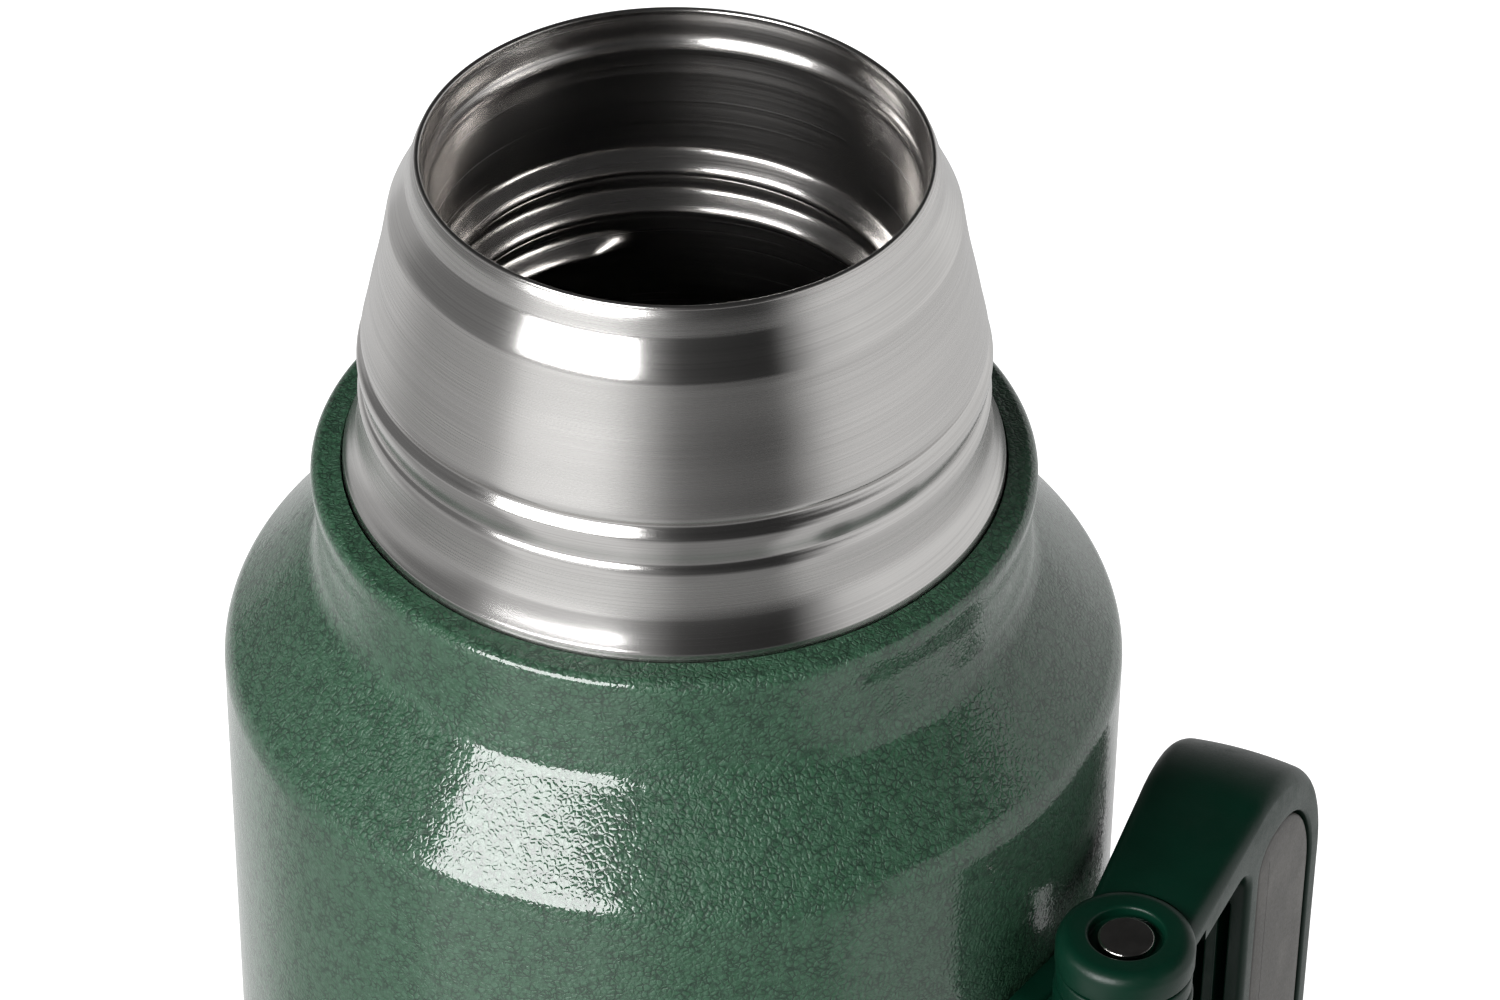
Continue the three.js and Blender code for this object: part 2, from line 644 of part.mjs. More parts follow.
function bracketPieces() {
  const pieces = [];
  const bracket = hingeBracket();
  pieces.push(piece('hinge_bracket_upper', bracket, 'greenPlastic'));
  pieces.push(piece('hinge_bracket_lower', mirroredHeight(bracket), 'greenPlastic'));
  const studFoot = BODY_RADIUS + GAP;
  STUD_OFFSETS.forEach((drop, i) => {
    const z = SADDLE_TOP - drop;
    const stud = rod(STUD_RADIUS, studFoot, studFoot + STUD_LENGTH, z);
    const nut = skinOf(solid(rod(NUT_RADIUS, SADDLE_REACH, SADDLE_REACH + NUT_HEIGHT, z, 6))
      .subtract(solid(rod(STUD_RADIUS + GAP, 60, 80, z))));
    pieces.push(piece(`bracket_stud_upper_${i + 1}`, stud, 'steel'));
    pieces.push(piece(`bracket_stud_lower_${i + 1}`, mirroredHeight(stud), 'steel'));
    pieces.push(piece(`bracket_nut_upper_${i + 1}`, nut, 'steel'));
    pieces.push(piece(`bracket_nut_lower_${i + 1}`, mirroredHeight(nut), 'steel'));
  });
  return pieces;
}

// ---- The whole flask ----

const bottle = new THREE.Group();
bottle.add(outerShell(), neckSleeve(), innerLiner(), linerBase(), outerBase(), baseCap(),
  vacuumPlug(), foilWrap(), ...getterPieces());

const handle = new THREE.Group();
handle.add(handleFrame(), ...gripPads());
handle.position.set(PIVOT_X, PIVOT_Y, 0);
handle.rotation.z = radians(HANDLE_ANGLE);

const hinge = new THREE.Group();
hinge.add(...hingePieces());
hinge.position.set(PIVOT_X, PIVOT_Y, 0);

const brackets = new THREE.Group();
brackets.add(...bracketPieces());
brackets.rotation.z = radians(PIVOT_ANGLE);

const flask = new THREE.Group();
flask.add(bottle, handle, hinge, brackets);

export default flask;
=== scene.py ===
"""Vacuum flask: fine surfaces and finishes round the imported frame. Metres, +Z up."""

import json
import math

import bpy
import numpy as np
from mathutils import Matrix, Vector


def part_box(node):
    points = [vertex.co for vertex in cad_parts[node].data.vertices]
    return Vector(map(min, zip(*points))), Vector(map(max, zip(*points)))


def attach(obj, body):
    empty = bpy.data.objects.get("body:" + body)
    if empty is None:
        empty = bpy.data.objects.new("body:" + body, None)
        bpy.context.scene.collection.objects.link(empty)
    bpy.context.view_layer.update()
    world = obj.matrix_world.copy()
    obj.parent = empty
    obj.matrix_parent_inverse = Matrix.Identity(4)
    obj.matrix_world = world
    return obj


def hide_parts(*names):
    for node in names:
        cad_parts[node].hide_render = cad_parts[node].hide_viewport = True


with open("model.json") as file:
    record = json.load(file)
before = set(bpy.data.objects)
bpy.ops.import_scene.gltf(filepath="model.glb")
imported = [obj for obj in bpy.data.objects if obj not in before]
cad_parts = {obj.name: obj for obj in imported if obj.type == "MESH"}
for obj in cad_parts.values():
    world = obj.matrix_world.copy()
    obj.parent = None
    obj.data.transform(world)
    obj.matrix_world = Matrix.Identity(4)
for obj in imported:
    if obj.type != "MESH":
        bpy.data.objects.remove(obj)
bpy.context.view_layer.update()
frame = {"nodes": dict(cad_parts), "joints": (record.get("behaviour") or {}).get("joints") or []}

MM = 0.001

# ---- What the frame gives, in millimetres ----


def node_box(node):
    """The low and high corners of a node's box, in millimetres."""
    low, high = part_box(node)
    return np.array(low) / MM, np.array(high) / MM


SHELL_LOW, SHELL_HIGH = node_box("outer_shell")
LINER_LOW, LINER_HIGH = node_box("inner_liner")
HINGE = np.array(frame["joints"][0]["pos_m"]) / MM
BODY_RADIUS = SHELL_HIGH[0]
SHELL_FOOT = SHELL_LOW[2]
LIP_RADIUS = 0.6
LIP_THINNED = 0.18
RIM_Z = LINER_HIGH[2] - LIP_RADIUS
RIM_RADIUS = 33.55
HANDLE_LOW_Z = node_box("handle_frame")[0][2]
BOSS_TOP = node_box("handle_frame")[1][2]
HANDLE_MIDDLE = (HANDLE_LOW_Z + BOSS_TOP) / 2
PIVOT_REACH = math.hypot(HINGE[0], HINGE[1])
PIVOT_ANGLE = math.atan2(HINGE[1], HINGE[0])
HANDLE_ANGLE = math.radians(67.5)

# Thread rolled into the mouth.
THREAD_PITCH = 6.7
THREAD_HEIGHT = 2.3
THREAD_HALF_WIDTH = 2.7
THREAD_LOW_Z = RIM_Z - 37.3
THREAD_LOW_ANGLE = math.radians(97)
THREAD_TURNS = 2.35
MOUTH_RADIUS = 32.4

# ---- Lines and surfaces ----


def arc(centre, radius, start, end, count):
    """Points on a circle: centre plus radius times (cos, sin) of evenly spaced degrees."""
    angle = np.radians(np.linspace(start, end, count))
    return np.stack([centre[0] + radius * np.cos(angle), centre[1] + radius * np.sin(angle)], 1)


def smooth_through(points, per_span):
    """A Catmull-Rom curve: each span is the cubic that meets its two ends with the slopes of
    the lines between the neighbours on either side."""
    p = np.asarray(points, float)
    p = np.vstack([2 * p[0] - p[1], p, 2 * p[-1] - p[-2]])
    t = np.linspace(0, 1, per_span, endpoint=False)[None, :, None]
    a, b, c, d = (p[i:len(p) - 3 + i][:, None, :] for i in range(4))
    curve = 0.5 * (2 * b + (c - a) * t + (2 * a - 5 * b + 4 * c - d) * t**2
                   + (3 * b - a - 3 * c + d) * t**3)
    return np.vstack([curve.reshape(-1, p.shape[1]), p[-2]])


def spread(line, spacing):
    """The same line with points added so that no two are further apart than spacing."""
    line = np.asarray(line, float)
    length = np.r_[0, np.cumsum(np.hypot(*np.diff(line, axis=0).T))]
    extra = [np.linspace(length[i], length[i + 1], max(1, math.ceil(
        (length[i + 1] - length[i]) / spacing)), endpoint=False) for i in range(len(line) - 1)]
    at = np.r_[np.concatenate(extra), length[-1]]
    return np.stack([np.interp(at, length, line[:, k]) for k in range(line.shape[1])], 1)


def beside(line, distance):
    """The line moved to the left of its direction: each point plus distance times the normal."""
    along = np.gradient(line, axis=0)
    along /= np.hypot(along[:, 0], along[:, 1])[:, None]
    return line + distance * np.stack([-along[:, 1], along[:, 0]], 1)


def skin(name, points, close_rows=True, close_columns=True, cap_ends=False):
    """A mesh over a grid of points in millimetres: one quad between neighbouring grid points,
    with the last row or column joined to the first where it closes."""
    rows, columns = points.shape[:2]
    index = np.arange(rows * columns).reshape(rows, columns)
    down = np.roll(index, -1, 0) if close_rows else index[1:]
    here = index if close_rows else index[:-1]
    if not close_columns:
        quads = np.stack([here[:, :-1], here[:, 1:], down[:, 1:], down[:, :-1]], -1)
    else:
        quads = np.stack([here, np.roll(here, -1, 1), np.roll(down, -1, 1), down], -1)
    faces = quads.reshape(-1, 4).tolist()
    if cap_ends:
        faces += [index[0][::-1].tolist(), index[-1].tolist()]
    mesh = bpy.data.meshes.new(name)
    mesh.from_pydata((points.reshape(-1, 3) * MM).tolist(), [], faces)
    return mesh


def outward(mesh, smooth_angle=40):
    """Turns every face outwards, drops doubled points and keeps edges sharper than the angle."""
    import bmesh
    work = bmesh.new()
    work.from_mesh(mesh)
    bmesh.ops.remove_doubles(work, verts=work.verts, dist=1e-7)
    bmesh.ops.dissolve_degenerate(work, edges=work.edges, dist=1e-8)
    bmesh.ops.recalc_face_normals(work, faces=work.faces)
    work.to_mesh(mesh)
    work.free()
    mesh.polygons.foreach_set("use_smooth", np.ones(len(mesh.polygons), bool))
    mesh.set_sharp_from_angle(angle=math.radians(smooth_angle))
    mesh.update()
    return mesh


def turned_points(outline, slices, wave=None):
    """The outline (radius, height) carried round Z: x = r cos a, y = r sin a."""
    angle = np.linspace(0, 2 * math.pi, slices, endpoint=False)
    r = np.repeat(outline[:, :1], slices, 1)
    z = np.repeat(outline[:, 1:], slices, 1)
    a = np.repeat(angle[None, :], len(outline), 0)
    if wave is not None:
        r = r + wave(a, r, z)
    return np.stack([r * np.cos(a), r * np.sin(a), z], -1)


def turned(name, outline, slices=288, closed=True, wave=None):
    """A turned piece: a closed outline is a ring, an open one has both its ends on the axis."""
    return skin(name, turned_points(np.asarray(outline, float), slices, wave),
                close_rows=closed)


def mirrored_height(mesh, name):
    """The same mesh turned upside down about the handle's middle height."""
    copy = mesh.copy()
    copy.name = name
    flip = Matrix.Translation((0, 0, 2 * HANDLE_MIDDLE * MM)) @ Matrix.Diagonal((1, 1, -1, 1))
    copy.transform(flip)
    copy.flip_normals()
    return copy


def joined(name, meshes):
    """Several closed skins kept in one mesh."""
    import bmesh
    work = bmesh.new()
    for mesh in meshes:
        work.from_mesh(mesh)
    whole = bpy.data.meshes.new(name)
    work.to_mesh(whole)
    work.free()
    return whole


def piece(name, mesh, body, material, nodes, smooth_angle=40):
    """Puts a mesh in the scene with its finish, its body and the nodes it replaces."""
    mesh.name = name
    obj = bpy.data.objects.new(name, outward(mesh, smooth_angle))
    bpy.context.scene.collection.objects.link(obj)
    obj.data.materials.clear()
    obj.data.materials.append(material)
    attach(obj, body)
    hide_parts(*nodes)
    return obj


# ---- Materials ----


class Finish:
    """A material with one Principled shader, and short calls for its texture nodes."""

    def __init__(self, name, color, roughness, metallic=0.0):
        self.material = bpy.data.materials.new(name)
        self.material.use_nodes = True
        self.tree = self.material.node_tree
        self.shader = self.tree.nodes["Principled BSDF"]
        self.set("Base Color", (*color, 1))
        self.set("Roughness", roughness)
        self.set("Metallic", metallic)
        self.place = self.node("ShaderNodeTexCoord").outputs["Object"]

    def node(self, kind, **settings):
        node = self.tree.nodes.new(kind)
        for key, value in settings.items():
            setattr(node, key, value)
        return node

    def set(self, socket, value):
        self.shader.inputs[socket].default_value = value

    def link(self, output, target):
        if isinstance(target, str):
            target = self.shader.inputs[target]
        self.tree.links.new(output, target)

    def feed(self, socket, value):
        if isinstance(value, bpy.types.NodeSocket):
            self.tree.links.new(value, socket)
        else:
            socket.default_value = value

    def math(self, operation, first, second=0.0, third=0.0):
        node = self.node("ShaderNodeMath", operation=operation)
        for socket, value in zip(node.inputs, (first, second, third)):
            self.feed(socket, value)
        return node.outputs[0]

    def noise(self, scale, detail=2.0, roughness=0.5, vector=None):
        node = self.node("ShaderNodeTexNoise")
        self.link(self.place if vector is None else vector, node.inputs["Vector"])
        node.inputs["Scale"].default_value = scale
        node.inputs["Detail"].default_value = detail
        node.inputs["Roughness"].default_value = roughness
        return node.outputs["Fac"]

    def cells(self, scale, feature, vector=None):
        node = self.node("ShaderNodeTexVoronoi", feature=feature)
        self.link(self.place if vector is None else vector, node.inputs["Vector"])
        node.inputs["Scale"].default_value = scale
        return node.outputs["Distance"]

    def remap(self, value, low, high, to_low=0.0, to_high=1.0, smooth=True):
        node = self.node("ShaderNodeMapRange")
        node.interpolation_type = "SMOOTHSTEP" if smooth else "LINEAR"
        for socket, number in zip(node.inputs, (value, low, high, to_low, to_high)):
            self.feed(socket, number)
        return node.outputs[0]

    def mix(self, factor, first, second):
        node = self.node("ShaderNodeMix", data_type="RGBA")
        self.feed(node.inputs[0], factor)
        for socket, color in zip(node.inputs[6:8], (first, second)):
            self.feed(socket, (*color, 1) if isinstance(color, tuple) else color)
        return node.outputs[2]

    def bump(self, height, distance):
        node = self.node("ShaderNodeBump")
        node.inputs["Strength"].default_value = 1.0
        node.inputs["Distance"].default_value = distance
        self.link(height, node.inputs["Height"])
        return node.outputs[0]

    def radius_and_height(self):
        split = self.node("ShaderNodeSeparateXYZ")
        self.link(self.place, split.inputs[0])
        squares = self.math("ADD", self.math("POWER", split.outputs[0], 2.0),
                            self.math("POWER", split.outputs[1], 2.0))
        return self.math("SQRT", squares), split.outputs[2], split.outputs

    def round_lines(self, across, along):
        """Noise drawn out round the axis: fine across radius and height, long round the piece."""
        radius, height, xyz = self.radius_and_height()
        line = self.math("MULTIPLY_ADD", radius, 0.8, height)
        join = self.node("ShaderNodeCombineXYZ")
        self.link(self.math("MULTIPLY", xyz[0], along), join.inputs[0])
        self.link(self.math("MULTIPLY", xyz[1], along), join.inputs[1])
        self.link(self.math("MULTIPLY", line, across), join.inputs[2])
        return self.noise(1.0, 3.0, 0.6, join.outputs[0])


def hammered_paint():
    """Green enamel that has crawled into small cells, with a dark craze between them."""
    f = Finish("hammered_green_enamel", (0.02, 0.06, 0.034), 0.45)
    drift = f.node("ShaderNodeTexNoise")
    f.link(f.place, drift.inputs["Vector"])
    drift.inputs["Scale"].default_value = 700
    drift.inputs["Detail"].default_value = 2
    shift = f.node("ShaderNodeVectorMath", operation="SCALE")
    f.link(drift.outputs["Color"], shift.inputs[0])
    shift.inputs["Scale"].default_value = 0.0010
    moved = f.node("ShaderNodeVectorMath", operation="ADD")
    f.link(f.place, moved.inputs[0])
    f.link(shift.outputs[0], moved.inputs[1])
    spot = moved.outputs[0]
    edge = f.cells(1150, "DISTANCE_TO_EDGE", spot)
    line = f.remap(edge, 0.0, 0.20, 1.0, 0.0)
    patchy = f.remap(f.noise(520, 2.0), 0.40, 0.60)
    craze = f.math("MULTIPLY", line, f.math("MULTIPLY_ADD", patchy, 0.65, 0.25))
    cloud = f.remap(f.noise(30, 3.0, 0.6), 0.3, 0.7)
    mottle = f.remap(f.noise(1150, 3.0, 0.65), 0.36, 0.64)
    green = f.mix(cloud, (0.020, 0.070, 0.035), (0.027, 0.085, 0.044))
    green = f.mix(f.math("MULTIPLY", mottle, 0.6), green, (0.052, 0.122, 0.076))
    f.link(f.mix(f.math("MULTIPLY", craze, 0.9), green, (0.004, 0.018, 0.010)), "Base Color")
    f.link(f.remap(craze, 0.0, 1.0, 0.42, 0.55), "Roughness")
    swell = f.remap(edge, 0.0, 0.3)
    long_wave = f.noise(420, 1.0, 0.4)
    height = f.math("MULTIPLY_ADD", long_wave, 1.0, f.math("MULTIPLY", swell, 0.30))
    f.link(f.bump(height, 0.000036), "Coat Normal")
    grain = f.math("MULTIPLY_ADD", mottle, 0.8, f.math("MULTIPLY", swell, 0.8))
    f.link(f.bump(f.math("MULTIPLY_ADD", height, 0.5, grain), 0.00009), "Normal")
    f.set("Coat Weight", 1.0)
    f.set("Coat Roughness", 0.03)
    f.set("Coat IOR", 1.5)
    f.set("Specular IOR Level", 0.4)
    return f


def between(f, value, low, high, soft):
    """1 where the value lies between two others, falling to 0 over a soft width outside."""
    rise = f.remap(value, low - soft, low)
    fall = f.remap(value, high, high + soft)
    return f.math("MULTIPLY", rise, f.math("SUBTRACT", 1.0, fall))


def brushed_steel(name, color, polished, brushed, across, depth, anisotropy, bands=()):
    """Steel with fine lines round the axis. Bands that a roller pressed are smoother."""
    f = Finish(name, color, brushed, 1.0)
    fine = f.round_lines(across, 14.0)
    broad = f.round_lines(across / 6, 6.0)
    lines = f.math("MULTIPLY_ADD", broad, 0.18, f.math("MULTIPLY", fine, 0.82))
    height = f.radius_and_height()[1]
    smooth = 0.0
    for low, high in bands:
        band = between(f, height, low * MM, high * MM, 0.5 * MM)
        smooth = f.math("MAXIMUM", smooth, band)
    dark = tuple(c * 0.90 for c in color)
    light = tuple(min(1.0, c * 1.06) for c in color)
    f.link(f.mix(f.remap(lines, 0.34, 0.66), dark, light), "Base Color")
    rough = f.remap(lines, 0.3, 0.7, brushed * 1.2, brushed * 0.85)
    if bands:
        rough = f.remap(smooth, 0.0, 1.0, rough, polished, smooth=False)
        depth_here = f.math("MULTIPLY_ADD", smooth, -0.75, 1.0)
        lines = f.math("MULTIPLY", f.math("SUBTRACT", lines, 0.5), depth_here)
    f.link(rough, "Roughness")
    f.link(f.bump(lines, depth), "Normal")
    f.set("Anisotropic", anisotropy)
    f.set("Anisotropic Rotation", 0.25)
    around = f.node("ShaderNodeTangent", direction_type="RADIAL", axis="Z")
    f.link(around.outputs[0], "Tangent")
    return f


def moulded_plastic():
    """Dark green satin moulding with a fine spark-eroded grain."""
    f = Finish("moulded_green_plastic", (0.0012, 0.010, 0.006), 0.36)
    cloud = f.remap(f.noise(60, 3.0, 0.6), 0.3, 0.7)
    f.link(f.mix(cloud, (0.0004, 0.0165, 0.0085), (0.0009, 0.0225, 0.0120)), "Base Color")
    grain = f.noise(3200, 3.0, 0.7)
    scuff = f.remap(f.noise(140, 4.0, 0.65), 0.45, 0.75)
    f.link(f.math("MULTIPLY_ADD", scuff, 0.10, f.remap(grain, 0.3, 0.7, 0.31, 0.40)),
           "Roughness")
    f.link(f.bump(grain, 0.00002), "Normal")
    f.set("Specular IOR Level", 0.30)
    return f


def grip_rubber():
    """Grey rubber, matt, with a fine grain and paler rubbed patches."""
    f = Finish("grey_grip_rubber", (0.055, 0.053, 0.050), 0.55)
    rubbed = f.remap(f.noise(90, 4.0, 0.6), 0.4, 0.7)
    f.link(f.mix(rubbed, (0.12, 0.114, 0.105), (0.18, 0.171, 0.157)), "Base Color")
    grain = f.noise(2400, 3.0, 0.7)
    f.link(f.remap(grain, 0.3, 0.7, 0.42, 0.58), "Roughness")
    f.link(f.bump(grain, 0.00003), "Normal")
    return f


def plain_metal(name, color, roughness, grain_scale, depth):
    """Bare metal with a cast or ground grain, for fasteners and inner pieces."""
    f = Finish(name, color, roughness, 1.0)
    grain = f.noise(grain_scale, 4.0, 0.65)
    dark = tuple(c * 0.7 for c in color)
    f.link(f.mix(f.remap(grain, 0.3, 0.7), dark, color), "Base Color")
    f.link(f.remap(grain, 0.3, 0.7, roughness * 1.25, roughness * 0.8), "Roughness")
    f.link(f.bump(grain, depth), "Normal")
    return f


PAINT = hammered_paint().material
NECK_BANDS = [(RIM_Z - 8.6, RIM_Z - 3.6), (RIM_Z - 37.0, RIM_Z - 27.4),
              (RIM_Z - 47.5, RIM_Z - 43.4)]
STEEL = brushed_steel("brushed_neck_steel", (0.60, 0.588, 0.575), 0.19, 0.26, 15000, 0.000004,
                      0.6, NECK_BANDS).material
LINER = brushed_steel("turned_liner_steel", (0.58, 0.563, 0.548), 0.16, 0.23, 5200, 0.000008,
                      0.6).material
PLASTIC = moulded_plastic().material
RUBBER = grip_rubber().material
PIN_STEEL = plain_metal("pin_steel", (0.50, 0.48, 0.46), 0.15, 380, 0.00006).material
FASTENER = plain_metal("fastener_steel", (0.50, 0.49, 0.48), 0.32, 1500, 0.00002).material
FOIL = plain_metal("bright_foil", (0.82, 0.82, 0.83), 0.18, 260, 0.0002).material
GETTER = plain_metal("getter_alloy", (0.13, 0.12, 0.11), 0.75, 3000, 0.00005).material
BRAZE = plain_metal("braze_alloy", (0.50, 0.42, 0.28), 0.45, 900, 0.00008).material

# ---- The bottle's turned pieces ----


def shell_line():
    """Outer face of the painted shell: cylinder, tight bend, cone, hollow bend, collar, lip."""
    slope, bend, shoulder_z = 48.0, 6.5, 218.1
    crease, collar, lip_r, lip_z = 6.5, 48.65, 49.2, 250.7
    turn = 90 - slope
    normal = (math.sin(math.radians(slope)), math.cos(math.radians(slope)))
    bend_r = BODY_RADIUS - bend
    cone = bend_r * normal[0] + shoulder_z * normal[1] + bend
    crease_r = collar + crease
    crease_z = (cone + crease - crease_r * normal[0]) / normal[1]
    lip_bend = 1.8
    return np.vstack([
        arc((BODY_RADIUS - 0.6, SHELL_FOOT + 0.6), 0.6, -80, 0, 5),
        arc((bend_r, shoulder_z), bend, 0, turn, 30),
        arc((crease_r, crease_z), crease, 180 + turn, 180, 18),
        smooth_through([(collar, lip_z - 9.5), (collar + 0.05, lip_z - 6.5),
                        (collar + 0.38, lip_z - 3.6)], 6),
        arc((lip_r - lip_bend, lip_z - lip_bend), lip_bend, 4, 82, 16),
        smooth_through([(46.4, lip_z + 0.06), (45.7, lip_z + 0.22), (45.15, lip_z + 0.30)], 6),
    ])


def painted_shell():
    """The shell line turned round Z, with the same line moved in by the wall for the inside."""
    wall = 0.8
    outside = spread(shell_line(), 1.6)
    hem = np.array([(45.0, 250.7), (45.0, 247.4), (45.8, 247.4), (45.8, 249.8)])
    inside = beside(spread(shell_line()[:-8], 5.0), wall)[::-1]
    inside = inside[inside[:, 1] > SHELL_FOOT + 0.5]
    foot = np.array([(BODY_RADIUS - wall, SHELL_FOOT)])
    return turned("painted_shell", np.vstack([outside, spread(hem, 0.8), inside, foot]), 300)


def neck_line():
    """Outer face of the steel neck: under the lip, swell, cone, two pressed beads, flare."""
    points = [(34.16, 0.12), (34.34, -0.25), (34.60, -0.80), (34.82, -1.5), (35.04, -2.4),
              (35.24, -3.2), (35.50, -3.85), (36.62, -6.1), (37.68, -8.2), (37.98, -9.2),
              (38.28, -10.9), (39.05, -15.1), (40.25, -20.4), (41.05, -24.2), (41.72, -27.2),
              (41.72, -28.0), (41.44, -28.8), (41.80, -29.5), (42.36, -30.4), (42.42, -31.4),
              (42.24, -32.6), (41.90, -34.2), (41.84, -34.9), (42.22, -35.6), (42.44, -36.5),
              (42.42, -38.4), (42.50, -40.6), (42.80, -42.6), (43.55, -44.8), (44.5, -46.9),
              (44.8, -48.0), (44.85, -52.0)]
    return smooth_through([(r, RIM_Z + z) for r, z in points], 7)


def steel_neck():
    """The neck line turned round Z, with the same line moved in by the wall for the inside."""
    outside = neck_line()
    inside = beside(outside[::4], -0.8)[::-1]
    inside[-1] = (33.95, RIM_Z - 1.2)
    return turned("steel_neck", np.vstack([outside, inside]), 300)


def thread_push(a, r, z):
    """How far the rolled thread stands in from the wall: a cosine to the power 1.5 across the
    rib, whose middle climbs one pitch each turn, faded out over the last few degrees at either
    end."""
    first = ((a - THREAD_LOW_ANGLE) / (2 * math.pi)) % 1.0
    push = np.zeros_like(z)
    for whole_turns in range(3):
        turn = first + whole_turns
        away = (z - THREAD_LOW_Z - THREAD_PITCH * turn) / THREAD_HALF_WIDTH
        crest = np.cos(np.clip(away, -1, 1) * math.pi / 2) ** 1.5
        ends = np.clip(np.minimum(turn, THREAD_TURNS - turn) * 22, 0, 1)
        push = np.maximum(push, THREAD_HEIGHT * crest * ends * ends * (3 - 2 * ends))
    return -push


def threaded_liner():
    """The bottle's inside line and the line moved out by the wall, joined by a round lip and
    turned round Z, with every radius pushed in where the thread runs."""
    wall = 0.6
    top = smooth_through([(33.25, RIM_Z - 0.4), (33.05, RIM_Z - 1.5), (32.95, RIM_Z - 3.4),
                          (32.45, RIM_Z - 4.5), (32.28, RIM_Z - 5.3), (32.5, RIM_Z - 6.4),
                          (32.48, RIM_Z - 8.0)], 5)
    rows = np.linspace(RIM_Z - 9, THREAD_LOW_Z - 4, 84)
    bore = np.stack([np.full(len(rows), MOUTH_RADIUS), rows], 1)
    radius, foot, shoulder, neck = 51.5, LINER_LOW[2], 208.0, 236.0
    lower = np.vstack([
        spread([(MOUTH_RADIUS, THREAD_LOW_Z - 5), (MOUTH_RADIUS, neck)], 4),
        arc((radius - 14, shoulder), 14, 62, 0, 14),
        spread([(radius, shoulder - 6), (radius, foot)], 30),
    ])
    inside = np.vstack([top, bore, lower])
    outside = beside(inside[::3], wall)[::-1]
    outside = outside[outside[:, 1] < RIM_Z - 1.6]
    lip = arc((RIM_RADIUS + LIP_THINNED, RIM_Z + LIP_THINNED), LIP_RADIUS - LIP_THINNED, -60, 205,
              16)
    return turned("threaded_liner", np.vstack([lip, inside, outside]), 288, wave=thread_push)


def liner_floor():
    """A shallow dome turned round Z, with a lip that turns up at its edge."""
    low = node_box("liner_base")[0][2]
    edge = node_box("liner_base")[1][0]
    above = smooth_through([(0, low + 3.0), (14, low + 2.9), (28, low + 2.3), (40, low + 1.3),
                            (edge - 4, low + 1.2), (edge - 0.9, low + 4.2)], 8)
    below = beside(above, -1.0)[::-1]
    below[-1] = (0, low + 1.9)
    return turned("liner_floor", np.vstack([above, below]), 144, closed=False)


def base_cup():
    """The pressed cup: a flat standing face with a shallow ring pressed into it."""
    edge = node_box("base_cap")[1][0]
    top = node_box("base_cap")[1][2]
    corner, wall = 4.0, 1.0
    below = np.vstack([
        spread([(0, 0), (40.4, 0)], 6),
        smooth_through([(41.0, 0.0), (42.0, 0.35), (42.9, 0.85), (44.0, 1.0), (45.1, 0.85),
                        (46.0, 0.35), (47.0, 0.0)], 5),
        spread([(47.6, 0), (edge - corner - 0.4, 0)], 3),
        arc((edge - corner, corner), corner, -90, 0, 14),
        spread([(edge, corner + 0.6), (edge, top - 0.5)], 2),
        arc((edge - 0.5, top - 0.5), 0.5, 10, 90, 5),
    ])
    inside = np.array([(edge - wall, top), (edge - wall, corner + 1), (edge - 2.2, 2.2),
                       (edge - corner - 0.5, wall), (48.0, wall), (46.5, wall + 0.6),
                       (44, wall + 1.0), (41.5, wall + 0.6), (40, wall), (0, wall)])
    return turned("base_cup", np.vstack([below, inside]), 240, closed=False)


# ---- Rounded plates: a profile carried round an outline ----


def round_rectangle(low, high, corner, count):
    """Points round a rectangle with circular corners, and the outward normal at each."""
    low, high = np.array(low, float), np.array(high, float)
    sides = []
    corners = np.broadcast_to(corner, 4)
    for k, (sx, sz) in enumerate([(1, -1), (1, 1), (-1, 1), (-1, -1)]):
        centre = np.where([sx > 0, sz > 0], high - corners[k], low + corners[k])
        angle = np.radians(np.linspace(-90, 0, count) + 90 * k)
        normal = np.stack([np.cos(angle), np.sin(angle)], 1)
        sides.append((centre + corners[k] * normal, normal))
    points = np.vstack([s[0] for s in sides])
    normals = np.vstack([s[1] for s in sides])
    return points, normals


def plate(name, outline, profile):
    """A closed plate: each ring is the outline moved in by the profile's first number, at the
    height of its second; the first and last rings are closed with a face."""
    points, normals = outline
    rings = [np.column_stack([points - inset * normals, np.full(len(points), height)])
             for inset, height in profile]
    return skin(name, np.stack(rings), close_rows=False, cap_ends=True)


def stand(mesh, x_axis, y_axis, z_axis, origin):
    """Carries a mesh from its own axes to three given ones, then to an origin in millimetres."""
    turn = Matrix((x_axis, y_axis, z_axis)).transposed().to_4x4()
    mesh.transform(Matrix.Translation(Vector(origin) * MM) @ turn)
    return mesh


def to_handle(mesh):
    """From the handle's own frame, pivot on Z and arms along +X, to where it folds."""
    mesh.transform(Matrix.Translation((HINGE[0] * MM, HINGE[1] * MM, 0))
                   @ Matrix.Rotation(HANDLE_ANGLE, 4, "Z"))
    return mesh


def to_bracket(mesh):
    """From the bracket's frame, +X out through the pivot, to its place on the body."""
    mesh.transform(Matrix.Rotation(PIVOT_ANGLE, 4, "Z"))
    return mesh


# ---- The handle ----

